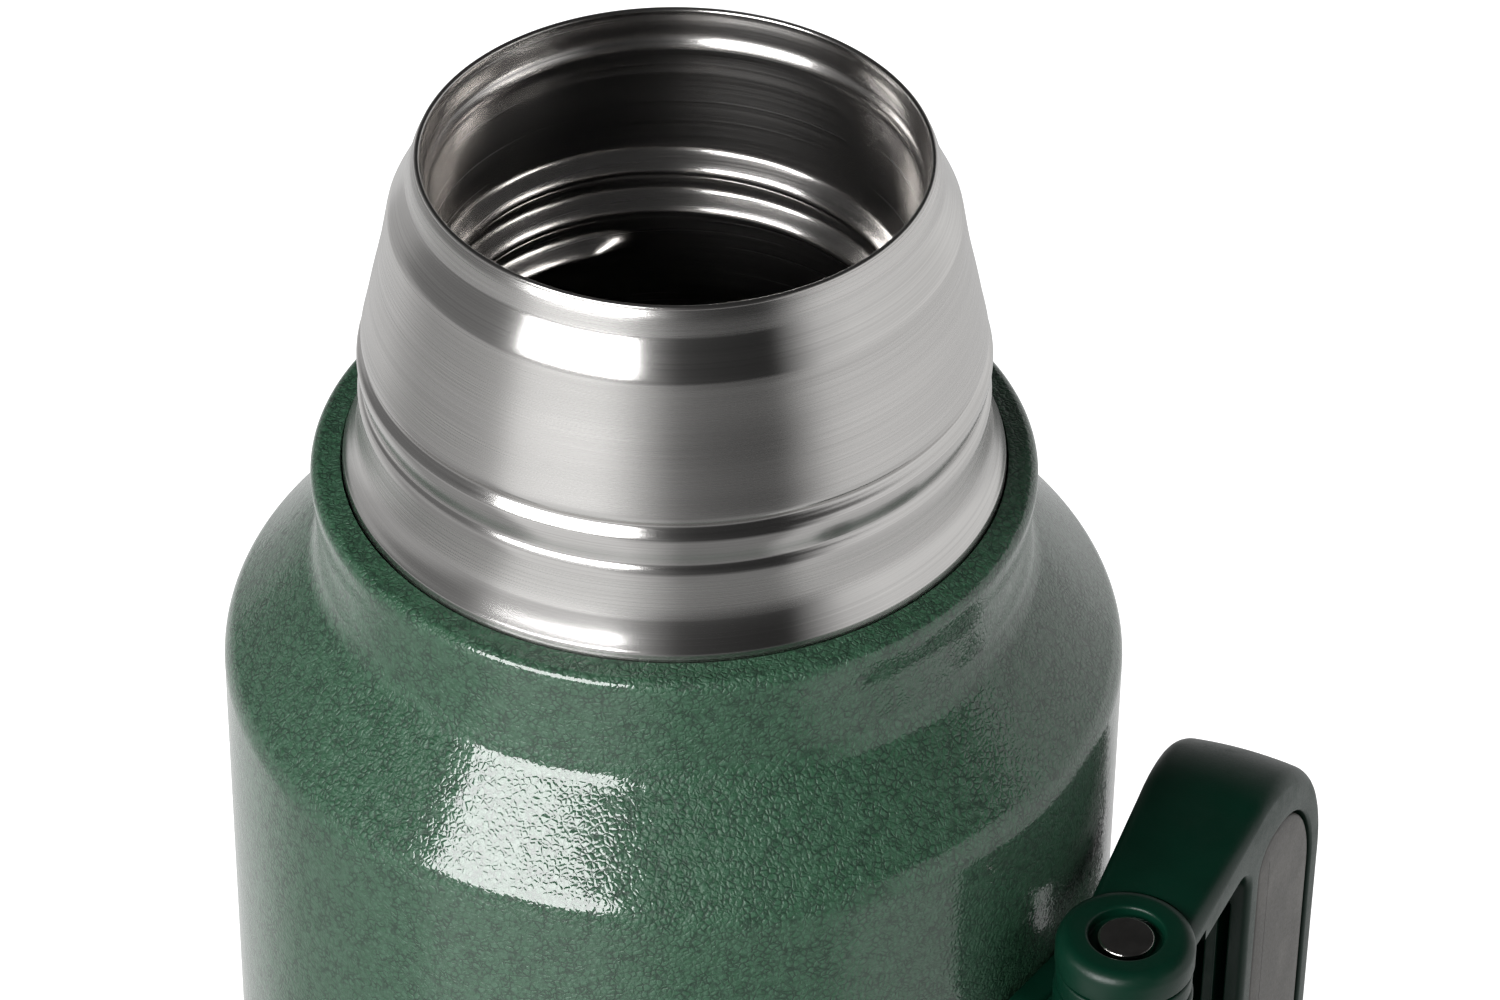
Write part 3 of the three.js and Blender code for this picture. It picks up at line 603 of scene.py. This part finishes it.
# SIDE and HINGE_SIDE are half the thickness at the grip's back and at the hinge. POCKET holds
# low x, high x, half height, the corners by the arms and the corners at the back.
HANDLE_TOP = BOSS_TOP - 1
HANDLE_FOOT = HANDLE_LOW_Z + 1
REACH = 58.5
SIDE = 10.0
HINGE_SIDE = 7.6
FLARE = 0.036
ARM = 7.0
GRIP = 31.0
OUTER_CORNER = 27.5
INNER_CORNER = 5.0
POCKET = (31.0, 53.0, 56.0, 4.0, 17.5)
POCKET_DEPTH = 3.0
CHANNELS = [(-6.8, -5.0), (-3.0, -1.0), (1.0, 3.0), (5.0, 6.8)]
CHANNEL_HALF_HEIGHT = 50
BOSS_RADIUS = 9.5
BOSS_HEIGHT = 5
PIN_BORE = 2.9


def flared(mesh):
    """Narrows the handle towards its hinge and lets its height grow away from it: thickness and
    half height are each multiplied by a number that changes evenly along the arms."""
    co = np.zeros(len(mesh.vertices) * 3)
    mesh.vertices.foreach_get("co", co)
    co = co.reshape(-1, 3)
    share = co[:, 0] / MM / REACH
    narrow = HINGE_SIDE / SIDE
    middle = HANDLE_MIDDLE * MM
    co[:, 1] *= narrow + (1 - narrow) * share
    co[:, 2] = middle + (co[:, 2] - middle) * (1 + FLARE * share)
    mesh.vertices.foreach_set("co", co.ravel())
    return mesh


def handle_rails():
    """The outer and inner edges of the C in its own plane, matched point for point."""
    inner_x = REACH - GRIP
    arms = 20

    def rail(far, height, corner):
        return np.vstack([
            np.stack([np.linspace(0, far - corner, arms, endpoint=False),
                      np.full(arms, height)], 1),
            arc((far - corner, height - corner), corner, 90, 0, 36),
        ])

    outer = rail(REACH, HANDLE_TOP, OUTER_CORNER)
    inner = rail(inner_x, HANDLE_TOP - ARM, INNER_CORNER)
    flip = np.array([1, -1])
    middle = np.array([0, HANDLE_TOP + HANDLE_FOOT])
    straight = np.linspace(0, 1, 14)[1:-1, None]

    def whole(rail):
        lower = (rail * flip + middle)[::-1]
        return np.vstack([rail, rail[-1] + (lower[0] - rail[-1]) * straight, lower])

    return whole(outer), whole(inner)


def handle_bar():
    """The C-shaped bar: a rounded section from the inner rail to the outer rail, carried along
    both. Its outer corners turn at one radius and its inner corners at a smaller one."""
    outer, inner = handle_rails()
    width = np.hypot(*(outer - inner).T)
    across = (outer - inner) / width[:, None]
    big, small = 2.4, 1.2
    quarter = np.radians(np.linspace(0, 90, 9))
    crown = 1.0

    def outer_corner(sign):
        b = sign * (SIDE - big + big * np.sin(quarter))
        return np.stack([np.ones_like(b), -big * (1 - np.cos(quarter)), b], 1)

    def inner_corner(sign):
        b = sign * (SIDE - small + small * np.sin(quarter))
        return np.stack([np.zeros_like(b), small * (1 - np.cos(quarter)), b], 1)

    flat = np.linspace(-(SIDE - big), SIDE - big, 12)[1:-1]
    top = np.stack([np.ones_like(flat), np.zeros_like(flat), flat], 1)
    back = np.linspace(SIDE - small, small - SIDE, 6)[1:-1]
    under = np.stack([np.zeros_like(back), np.zeros_like(back), back], 1)
    section = np.vstack([outer_corner(-1)[::-1], top, outer_corner(1), inner_corner(1)[::-1],
                         under, inner_corner(-1)])
    lift = crown * (1 - (section[:, 2] / SIDE) ** 2) * section[:, 0]
    drop = crown * section[:, 0]
    offset = section[None, :, 0] * width[:, None] + section[None, :, 1] + lift - drop
    plane = inner[:, None, :] + across[:, None, :] * offset[..., None]
    b = np.repeat(section[None, :, 2], len(outer), 0)
    points = np.stack([plane[..., 0], b, plane[..., 1]], -1)
    return skin("handle_bar", points, close_rows=False, cap_ends=True)


def boss_line():
    """Boss from its underside round its filleted edge to the pin's recess, and down to its bore."""
    radius, fillet, depth = BOSS_RADIUS, 2.1, 2.0
    recess, lip, bore = 5.2, 0.5, PIN_BORE
    return np.vstack([
        [(bore, BOSS_TOP - BOSS_HEIGHT)],
        arc((radius - 0.4, BOSS_TOP - 4.6), 0.4, -90, 0, 4),
        arc((radius - fillet, BOSS_TOP - fillet), fillet, 0, 90, 14),
        arc((recess + lip, BOSS_TOP - lip), lip, 90, 180, 6),
        [(recess, BOSS_TOP - depth + 0.25), (recess - 0.25, BOSS_TOP - depth)],
        [(bore, BOSS_TOP - depth)],
    ])


def carve(base, tools, operation):
    """The base with each tool joined to it or cut from it, as one new mesh."""
    holder = bpy.data.objects.new("carving", base)
    bpy.context.scene.collection.objects.link(holder)
    helpers = []
    for tool in tools:
        helper = bpy.data.objects.new("carving_tool", outward(tool))
        bpy.context.scene.collection.objects.link(helper)
        helpers.append(helper)
        step = holder.modifiers.new("carve", "BOOLEAN")
        step.operation = operation
        step.solver = "EXACT"
        step.object = helper
    bpy.context.view_layer.update()
    evaluated = holder.evaluated_get(bpy.context.evaluated_depsgraph_get())
    result = bpy.data.meshes.new_from_object(evaluated)
    for leftover in [holder, *helpers]:
        bpy.data.objects.remove(leftover)
    return result


def pocket_outline(inset):
    """The pocket's outline moved in: small corners by the arms, large ones at the back."""
    low_x, high_x, half, corner, back = POCKET
    low = (low_x + inset, HANDLE_MIDDLE - half + inset)
    high = (high_x - inset, HANDLE_MIDDLE + half - inset)
    return round_rectangle(low, high, (back - inset, back - inset, corner - inset,
                                       corner - inset), 14)


def pad_pocket(face):
    """Cutter for a grip pad's pocket, with an edge that rounds over at the surface."""
    flare = arc((0.5, SIDE - 0.5), 0.5, 180, 90, 6)
    profile = [(0.0, SIDE - POCKET_DEPTH)] + [(-x, z) for x, z in flare] + [(-0.5, SIDE + 2)]
    mesh = plate("pad_pocket", pocket_outline(0), profile)
    return stand(mesh, (1, 0, 0), (0, 0, 1), (0, face, 0), (0, 0, 0))


def grip_channel(low, high):
    """Cutter for one cored channel up the grip's inner face, with rounded ends and edges."""
    wall = REACH - GRIP
    corner = min(1.2, (high - low) / 2 - 0.05)
    outline = round_rectangle((low, HANDLE_MIDDLE - CHANNEL_HALF_HEIGHT),
                              (high, HANDLE_MIDDLE + CHANNEL_HALF_HEIGHT), corner, 6)
    flare = arc((0.35, -0.35), 0.35, 180, 90, 5)
    profile = [(0.25, -8.0), (0.0, -7.7)] + [(-x, z) for x, z in flare] + [(-0.35, 3.0)]
    mesh = plate("grip_channel", outline, profile)
    return stand(mesh, (0, 1, 0), (0, 0, 1), (-1, 0, 0), (wall, 0, 0))


def handle_mesh():
    """The bar, cut for its pads and channels and flared, then cleared round the two bosses."""
    boss = turned("boss", boss_line(), 96)
    under, over, room, past_boss = BOSS_HEIGHT + 0.02, 13, 9.3, 12
    relief = turned("relief", np.array([(0, HANDLE_LOW_Z + under), (over, HANDLE_LOW_Z + under),
                                        (over, BOSS_TOP - under), (0, BOSS_TOP - under)]), 96,
                    closed=False)
    # Clears the arms' square ends out of each boss, so the boss shows its own fillet and recess.
    foot, head = 60, 215
    end = turned("arm_end", np.array([(0, foot), (room, foot), (room, head), (0, head)]), 96,
                 closed=False)
    corners = [(-past_boss, foot), (past_boss, foot), (past_boss, head), (-past_boss, head)]
    behind = skin("behind", np.array([[[x, y, z] for y, z in corners] for x in (-4, 2)], float),
                  close_rows=False, cap_ends=True)
    bar = outward(handle_bar())
    bar = flared(carve(bar, [pad_pocket(-1), pad_pocket(1), *(
        grip_channel(low, high) for low, high in CHANNELS)], "DIFFERENCE"))
    bar = carve(bar, [end, behind, relief], "DIFFERENCE")
    whole = joined("handle", [bar, boss, mirrored_height(boss, "boss_lower")])
    return to_handle(whole)


def grip_pad(face):
    """A grip pad: crowned across its face, with a rounded edge that meets the pocket's floor."""
    edge, sunk, wide = 0.8, 0.25, 3.0
    rim = [(edge * (1 - math.cos(t)), SIDE - sunk - edge * (1 - math.sin(t)))
           for t in np.radians(np.linspace(0, 90, 8))]
    dome = [(edge + step, SIDE - sunk + 0.22 * (1 - (1 - step / wide) ** 2))
            for step in np.linspace(0.3, wide - 0.2, 8)]
    mesh = plate("grip_pad", pocket_outline(0.5), [(0.0, SIDE - POCKET_DEPTH + 0.3)] + rim + dome)
    mesh = flared(stand(mesh, (1, 0, 0), (0, 0, 1), (0, face, 0), (0, 0, 0)))
    return to_handle(mesh)


# ---- Hinge hardware ----

# The saddle starts this far under the boss's top, and its face lies at this radius.
SADDLE_DROP = 13
SADDLE_FACE = 66.5
KNUCKLE_HEIGHT = 14


def at_pivot(mesh):
    """From an axis on Z to the hinge's axis."""
    mesh.transform(Matrix.Translation((HINGE[0] * MM, HINGE[1] * MM, 0)))
    return mesh


def rounded_ring(bore, radius, low, high, edge):
    """A ring whose four corners are rounded."""
    return np.vstack([
        arc((radius - edge, low + edge), edge, -90, 0, 6),
        arc((radius - edge, high - edge), edge, 0, 90, 6),
        arc((bore + edge, high - edge), edge, 90, 180, 6),
        arc((bore + edge, low + edge), edge, 180, 270, 6),
    ])


def hinge_pin():
    """A pin turned round Z, with a disc head that is dished a little in the middle."""
    low, high = node_box("hinge_pin_upper")
    head, shank, edge = 3.95, 2.6, 0.45
    top = high[2]
    return turned("hinge_pin", np.vstack([
        [(0, low[2])],
        arc((shank - 0.4, low[2] + 0.4), 0.4, -90, 0, 4),
        [(shank, top - 1.5), (shank + 0.1, top - 1.4)],
        arc((head - 0.2, top - 1.2), 0.2, -90, 0, 4),
        arc((head - edge, top - edge), edge, 0, 80, 8),
        [(head - 0.9, top - 0.08), (2.2, top - 0.14), (1.0, top - 0.10), (0, top - 0.08)],
    ]), 72, closed=False)


def ring_piece(node, edge):
    """A rounded ring turned round Z, as wide and as high as the node."""
    low, high = node_box(node)
    radius = (high[0] - low[0]) / 2
    return turned(node, rounded_ring(PIN_BORE, radius, low[2], high[2], edge), 96)


def bracket_mesh():
    """Knuckle, web and saddle: three closed skins that meet inside one moulding."""
    low, high = node_box("hinge_bracket_upper")
    saddle_top = BOSS_TOP - SADDLE_DROP
    saddle_foot, knuckle_top = low[2], high[2]
    knuckle_foot = knuckle_top - KNUCKLE_HEIGHT
    knuckle = turned("knuckle", rounded_ring(PIN_BORE, BOSS_RADIUS, knuckle_foot, knuckle_top,
                                             0.8), 96)
    knuckle.transform(Matrix.Translation((PIVOT_REACH * MM, 0, 0)))
    half_width, edge_radius, saddle_back, bend_radius = 11, 0.9, 62.6, 64.0
    outline = round_rectangle((-half_width, saddle_foot), (half_width, saddle_top), 5.0, 10)
    edge = arc((edge_radius, SADDLE_FACE - edge_radius), edge_radius, 180, 90, 7)
    profile = [(0.0, saddle_back)] + [tuple(p) for p in edge] + [(3.5, SADDLE_FACE)]
    saddle = plate("saddle", outline, profile)
    co = np.zeros(len(saddle.vertices) * 3)
    saddle.vertices.foreach_get("co", co)
    co = co.reshape(-1, 3) / MM
    angle = co[:, 0] / bend_radius
    wrapped = np.stack([co[:, 2] * np.cos(angle), co[:, 2] * np.sin(angle), co[:, 1]], 1) * MM
    saddle.vertices.foreach_set("co", wrapped.ravel())
    web_points, _ = round_rectangle((-6.5, knuckle_foot + 0.2), (6.5, saddle_top - 0.6), 1.4, 8)
    web_steps = 12
    spans = np.linspace(64.5, PIVOT_REACH - 3.0, web_steps)
    waist = 1 + 0.45 * np.abs(np.linspace(1.0, -0.2, web_steps)) ** 3
    web = np.stack([np.column_stack([np.full(len(web_points), x), web_points[:, 0] * w,
                                     web_points[:, 1]]) for x, w in zip(spans, waist)])
    web_mesh = skin("web", web, close_rows=False, cap_ends=True)
    return joined("bracket", [knuckle, saddle, web_mesh])


def hex_nut(low_x, high_x, z):
    """A hexagonal nut: the hexagon's reach at each angle, cut back to a circle at the chamfers,
    round a threaded bore."""
    slices = 96
    angle = np.linspace(0, 2 * math.pi, slices, endpoint=False)
    flat = 3.5
    hexagon = flat / np.cos((angle + math.pi / 6) % (math.pi / 3) - math.pi / 6)
    ring = [(2.3, low_x), (3.45, low_x), (3.75, low_x + 0.15), (9, low_x + 0.45),
            (9, high_x - 0.55), (3.75, high_x - 0.15), (3.4, high_x), (2.6, high_x),
            (2.3, high_x - 0.35)]
    rows = np.stack([np.column_stack([np.full(slices, x), np.minimum(hexagon, r) * np.cos(angle),
                                      np.minimum(hexagon, r) * np.sin(angle) + z])
                     for r, x in ring])
    return skin("nut", rows)


def stud(low_x, high_x, z):
    """A stud whose thread is a helix pressed round it: the radius follows the angle and length."""
    length = np.linspace(low_x, high_x - 0.5, 60)
    angle = np.linspace(0, 2 * math.pi, 32, endpoint=False)
    x, a = np.meshgrid(length, angle, indexing="ij")
    depth = 0.16 * (1 - np.cos(2 * math.pi * x / 0.7 - a)) / 2
    body = np.stack([x, (2.0 - depth) * np.cos(a), (2.0 - depth) * np.sin(a) + z], -1)
    tip = body[-1:].copy()
    tip[..., 0] = high_x
    tip[..., 1] *= 0.8
    tip[..., 2] = z + (tip[..., 2] - z) * 0.8
    return skin("stud", np.concatenate([body, tip]), close_rows=False, cap_ends=True)


def build():
    """Every visible piece. The upper hinge's pieces are mirrored to make the lower hinge's."""
    piece("painted_shell", painted_shell(), "flask", PAINT, ["outer_shell"], 60)
    piece("steel_neck", steel_neck(), "flask", STEEL, ["neck_sleeve"], 60)
    piece("threaded_liner", threaded_liner(), "flask", LINER, ["inner_liner"], 70)
    piece("liner_floor", liner_floor(), "flask", LINER, ["liner_base"])
    piece("base_cup", base_cup(), "flask", PAINT, ["base_cap"])
    piece("folding_handle", handle_mesh(), "handle", PLASTIC,
          ["handle_frame"], 38)
    for name, face in (("grip_pad_outer", -1), ("grip_pad_inner", 1)):
        piece(name + "_rubber", grip_pad(face), "handle", RUBBER, [name])

    upper = {
        "hinge_pin": (at_pivot(hinge_pin()), "steel", PIN_STEEL),
        "hinge_washer": (at_pivot(ring_piece("hinge_washer_upper", 0.5)), "green_plastic",
                         PLASTIC),
        "pin_clip": (at_pivot(ring_piece("pin_clip_upper", 0.2)), "steel", FASTENER),
        "hinge_bracket": (to_bracket(bracket_mesh()), "green_plastic", PLASTIC),
    }
    stud_foot, stud_tip, nut_top = 62.3, 69.9, 69.7
    for drop, number in ((17, 1), (30, 2)):
        z = BOSS_TOP - SADDLE_DROP - drop
        stud_mesh = to_bracket(stud(stud_foot, stud_tip, z))
        nut_mesh = to_bracket(hex_nut(SADDLE_FACE, nut_top, z))
        upper[f"bracket_stud.{number}"] = (stud_mesh, "steel", FASTENER)
        upper[f"bracket_nut.{number}"] = (nut_mesh, "steel", FASTENER)
    for key, (mesh, slot, material) in upper.items():
        stem, _, number = key.partition(".")
        tail = f"_{number}" if number else ""
        for level, shape in (("upper", mesh), ("lower", mirrored_height(mesh, stem))):
            node = f"{stem}_{level}{tail}"
            piece(f"{node}_fine", shape, "flask", material, [node])

    plain = {"outer_base": LINER, "getter_clip": LINER, "vacuum_plug": BRAZE,
             "reflective_foil": FOIL, "getter_pellet": GETTER}
    for node, material in plain.items():
        obj = frame["nodes"][node]
        obj.data.materials.clear()
        obj.data.materials.append(material)


build()

# ---- Studio ----


def camera():
    """Looks down at 38.3 degrees and a little rolled, from about 0.8 m, with a long lens."""
    data = bpy.data.cameras.new("camera")
    data.sensor_width = 36
    data.lens = 148.03
    obj = bpy.data.objects.new("camera", data)
    bpy.context.scene.collection.objects.link(obj)
    pitch, roll = math.radians(38.30), math.radians(0.75)
    forward = Vector((0, math.cos(pitch), -math.sin(pitch)))
    level_up = Vector((0, math.sin(pitch), math.cos(pitch)))
    right = Vector((1, 0, 0)) * math.cos(roll) + level_up * math.sin(roll)
    up = level_up * math.cos(roll) - Vector((1, 0, 0)) * math.sin(roll)
    turn = Matrix((right, up, -forward)).transposed().to_4x4()
    rim = Vector((0, 0, RIM_Z * MM))
    obj.matrix_world = Matrix.Translation(rim + Vector((0.01027, -0.65782, 0.46255))) @ turn
    bpy.context.scene.camera = obj


def glow(name, inner, outer, steps):
    """A ring of a cone round the axis that the flask reflects and the camera doesn't see. Each
    edge is a circle (radius, height). The brightness goes evenly between the steps, which are
    (azimuth, brightness), 0 being the camera's side."""
    azimuths, levels = np.array(steps, float).T
    azimuth = np.linspace(-180, 180, 145)[:-1]
    light = np.interp(azimuth, azimuths, levels)
    a = np.radians(azimuth)[None, :]
    edge = np.array([inner, outer])
    r, z = edge[:, :1], np.repeat(edge[:, 1:], len(azimuth), 1)
    points = np.stack([r * np.sin(a), -r * np.cos(a), z], -1)
    mesh = skin(name, points / MM, close_rows=True, close_columns=False)
    attribute = mesh.attributes.new("light", "FLOAT", "POINT")
    attribute.data.foreach_set("value", np.tile(light, 2))
    obj = bpy.data.objects.new(name, mesh)
    bpy.context.scene.collection.objects.link(obj)
    f = Finish(name, (0.0, 0.0, 0.0), 1.0)
    f.set("Specular IOR Level", 0.0)
    f.set("Emission Color", (1, 1, 1, 1))
    f.link(f.node("ShaderNodeAttribute", attribute_name="light").outputs["Fac"],
           "Emission Strength")
    mesh.materials.append(f.material)
    obj.visible_camera = False
    obj.visible_shadow = False


def floor():
    """A pale floor, even and bright to the camera."""
    mesh = bpy.data.meshes.new("floor")
    side = 6.0
    under = -0.0003
    mesh.from_pydata([(-side, -side, under), (side, -side, under), (side, side, under),
                      (-side, side, under)], [], [(0, 1, 2, 3)])
    obj = bpy.data.objects.new("floor", mesh)
    bpy.context.scene.collection.objects.link(obj)
    material = bpy.data.materials.new("pale_floor")
    material.use_nodes = True
    shader = material.node_tree.nodes["Principled BSDF"]
    shader.inputs["Base Color"].default_value = (0.5, 0.5, 0.5, 1)
    shader.inputs["Roughness"].default_value = 0.9
    shader.inputs["Emission Color"].default_value = (1, 1, 1, 1)
    shader.inputs["Emission Strength"].default_value = 0.95
    mesh.materials.append(material)
    obj.visible_diffuse = obj.visible_glossy = False


def softbox(name, azimuth, elevation, distance, width, height, power):
    """An area light that faces the flask's shoulder from an azimuth (0 is the camera's side)."""
    data = bpy.data.lights.new(name, "AREA")
    data.shape = "RECTANGLE"
    data.size = width
    data.size_y = height
    data.energy = power
    obj = bpy.data.objects.new(name, data)
    bpy.context.scene.collection.objects.link(obj)
    a, e = math.radians(azimuth), math.radians(elevation)
    away = Vector((math.sin(a) * math.cos(e), -math.cos(a) * math.cos(e), math.sin(e)))
    target = Vector((0, 0, 0.27))
    obj.location = target + away * distance
    obj.rotation_euler = (-away).to_track_quat("-Z", "Y").to_euler()
    obj.visible_camera = False


def studio():
    """One tall softbox on the left; a floor and walls of differing brightness all round."""
    world = bpy.data.worlds.new("dark_room")
    bpy.context.scene.world = world
    world.use_nodes = True
    background = world.node_tree.nodes["Background"]
    background.inputs["Color"].default_value = (1, 1, 1, 1)
    background.inputs["Strength"].default_value = 0.03
    softbox("key", -36, 25.5, 1.0, 0.72, 0.44, 15)
    glow("near_floor", (0.12, 0.001), (0.75, 0.001), [
        (-180, 0.6), (-150, 0.75), (-122, 0.75), (-100, 0.35), (-62, 0.38), (-54, 0.9), (-18, 0.9),
        (4, 0.25), (38, 0.25), (46, 0.62), (130, 0.67), (180, 0.6)])
    glow("far_floor", (0.75, 0.001), (2.2, 0.001), [
        (-180, 0.50), (-62, 0.50), (-54, 0.95), (-24, 0.95), (0, 0.16), (38, 0.06), (46, 0.30),
        (56, 0.80), (66, 0.88), (130, 0.88), (180, 0.50)])
    glow("wall", (2.2, 0.001), (2.2, 1.1), [
        (-180, 0.19), (-66, 0.19), (-56, 0.40), (-20, 0.40), (2, 0.05), (38, 0.02), (46, 0.32),
        (56, 0.75), (70, 0.88), (130, 0.75), (180, 0.19)])
    bpy.context.scene.view_settings.view_transform = "Standard"


camera()
floor()
studio()
